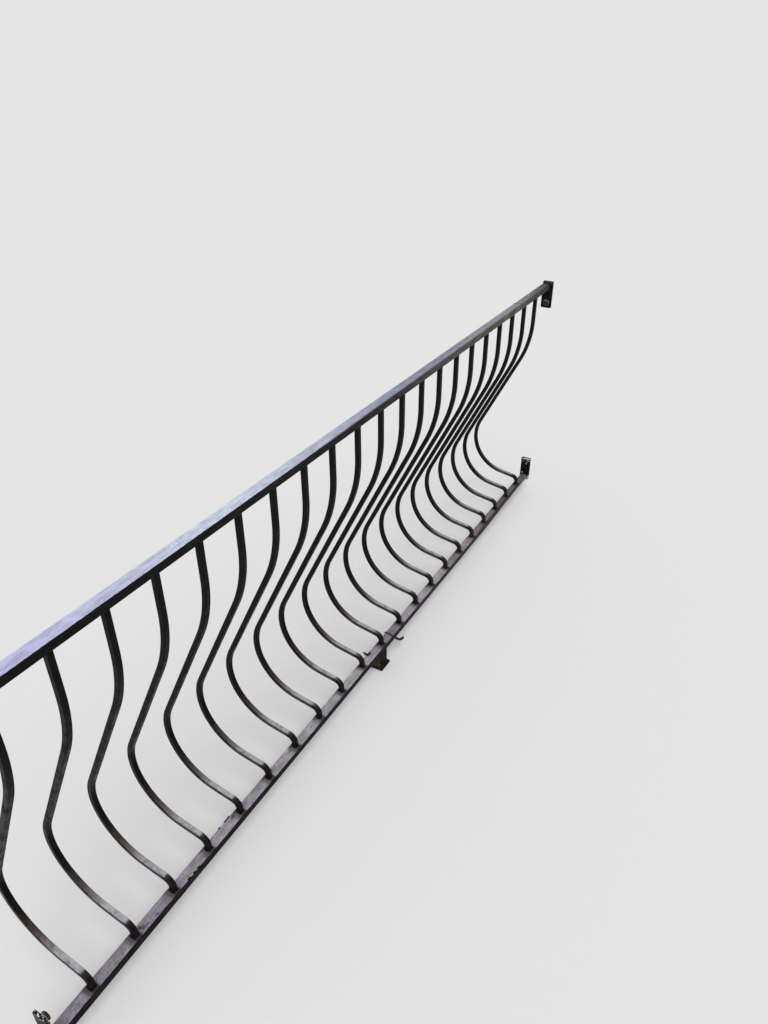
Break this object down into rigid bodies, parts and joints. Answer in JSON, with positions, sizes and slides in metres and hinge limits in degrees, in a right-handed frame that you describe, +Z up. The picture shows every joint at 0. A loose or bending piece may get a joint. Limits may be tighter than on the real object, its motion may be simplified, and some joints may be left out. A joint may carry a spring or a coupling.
{
  "type": "balcony railing",
  "caption": "Iron balcony railing: two flat rails between wall lugs, bellied square balusters that swell outward low down, and a short middle foot.",
  "frame": {"origin": "underside of the foot plate, directly below the middle baluster and on the rails' centre line", "axes": "+X along the rails, +Y outward over the drop (the belly's side), +Z up"},
  "size_m": [2.44, 0.216, 0.854],
  "materials": {
    "bar_iron": "weathered black gloss paint",
    "rail_iron": "black paint worn chalky and wet on the upper faces",
    "lug_iron": "thick black paint with rust at the edges",
    "rusty_iron": "black paint gone to brown rust"
  },
  "bodies": {
    "root": {"top_rail": "rail_iron", "bottom_rail": "rail_iron", "upper_lug_right": "lug_iron", "upper_lug_left": "lug_iron", "lower_lug_right": "lug_iron", "lower_lug_left": "lug_iron", "foot_post": "rusty_iron", "foot_plate": "rusty_iron", "baluster_01": "bar_iron", "baluster_02": "bar_iron", "baluster_03": "bar_iron", "baluster_04": "bar_iron", "baluster_05": "bar_iron", "baluster_06": "bar_iron", "baluster_07": "bar_iron", "baluster_08": "bar_iron", "baluster_09": "bar_iron", "baluster_10": "bar_iron", "baluster_11": "bar_iron", "baluster_12": "bar_iron", "baluster_13": "bar_iron", "baluster_14": "bar_iron", "baluster_15": "bar_iron", "baluster_16": "bar_iron", "baluster_17": "bar_iron", "baluster_18": "bar_iron", "baluster_19": "bar_iron", "baluster_20": "bar_iron", "baluster_21": "bar_iron"}
  },
  "joints": []
}
